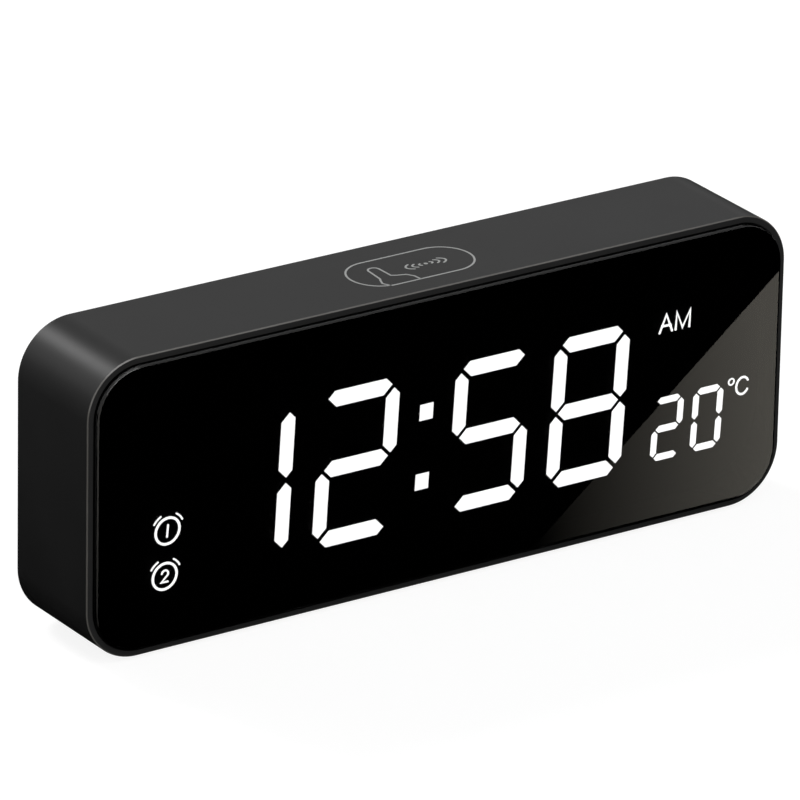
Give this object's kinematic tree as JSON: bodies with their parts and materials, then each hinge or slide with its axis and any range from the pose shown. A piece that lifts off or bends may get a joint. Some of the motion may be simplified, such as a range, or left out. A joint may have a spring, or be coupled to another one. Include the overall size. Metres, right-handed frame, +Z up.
{
  "type": "digital led desk clock",
  "caption": "Slim black desk clock with a proud smoked lens, white LED time and temperature figures, a touch zone on top, keys and a battery door at the back.",
  "frame": {"origin": "on the desk, under the middle of the clock's box", "axes": "+X along the width to the viewer's right, the display faces -Y, +Z up"},
  "size_m": [0.16, 0.026, 0.0618],
  "materials": {
    "case_plastic": "satin black moulded plastic, fine grain",
    "lens_acrylic": "polished smoked acrylic, nearly black",
    "adhesive": "black foam tape",
    "reflector_plastic": "black outside, white wells",
    "lit_bar": "milky light bar, lit white",
    "dark_bar": "smoked light bar, not lit",
    "sign_window": "masked light window",
    "board_laminate": "green solder mask on glass laminate",
    "led_resin": "moulded LED package",
    "component_black": "black moulded component",
    "component_metal": "drawn can",
    "steel": "plated steel",
    "contact_metal": "plated spring strip",
    "cover_plastic": "black moulded plastic, fine texture",
    "cell_wrap": "plain sleeved cell with bare ends",
    "key_plastic": "black moulded key cap",
    "plunger_plastic": "moulded plunger",
    "foot_rubber": "black soft rubber"
  },
  "bodies": {
    "housing": {"case_shell": "case_plastic", "display_lens": "lens_acrylic", "lens_tape": "adhesive", "digit_frame": "reflector_plastic", "lit_segments": "lit_bar", "unlit_segments": "dark_bar", "indicator_diffusers": "sign_window", "led_board": "board_laminate", "key_board": "board_laminate", "led_chips": "led_resin", "control_chip": "component_black", "sounder": "component_black", "link_header": "component_black", "temperature_sensor": "component_black", "key_switches": "component_black", "usb_tongue": "component_black", "clock_crystal": "component_metal", "supply_capacitor": "component_metal", "board_screws": "steel", "cover_screws": "steel", "key_board_screws": "steel", "usb_shell": "steel", "cell_contacts": "contact_metal", "touch_spring": "contact_metal", "touch_electrode": "contact_metal", "rear_cover": "cover_plastic", "battery_cells": "cell_wrap", "rubber_feet": "foot_rubber"},
    "door": {"battery_door": "cover_plastic"},
    "set_button": {"set_key": "key_plastic", "set_plunger": "plunger_plastic"},
    "mode_button": {"mode_key": "key_plastic", "mode_plunger": "plunger_plastic"},
    "alarm_button": {"alarm_key": "key_plastic", "alarm_plunger": "plunger_plastic"},
    "down_button": {"down_key": "key_plastic", "down_plunger": "plunger_plastic"},
    "up_button": {"up_key": "key_plastic", "up_plunger": "plunger_plastic"}
  },
  "joints": [
    {"name": "door_hinge", "type": "hinge", "parent": "housing", "child": "door", "pos_m": [-0.04, 0.01199, 0.01275], "axis": [-1, 0, 0], "range_deg": [0, 90]},
    {"name": "set_press", "type": "slide", "parent": "housing", "child": "set_button", "axis": [0, -1, 0], "range_m": [0, 0.0004], "stiffness_N_per_m": 400, "springref_m": -0.0005},
    {"name": "mode_press", "type": "slide", "parent": "housing", "child": "mode_button", "axis": [0, -1, 0], "range_m": [0, 0.0004], "stiffness_N_per_m": 400, "springref_m": -0.0005},
    {"name": "alarm_press", "type": "slide", "parent": "housing", "child": "alarm_button", "axis": [0, -1, 0], "range_m": [0, 0.0004], "stiffness_N_per_m": 400, "springref_m": -0.0005},
    {"name": "down_press", "type": "slide", "parent": "housing", "child": "down_button", "axis": [0, -1, 0], "range_m": [0, 0.0004], "stiffness_N_per_m": 400, "springref_m": -0.0005},
    {"name": "up_press", "type": "slide", "parent": "housing", "child": "up_button", "axis": [0, -1, 0], "range_m": [0, 0.0004], "stiffness_N_per_m": 400, "springref_m": -0.0005}
  ]
}
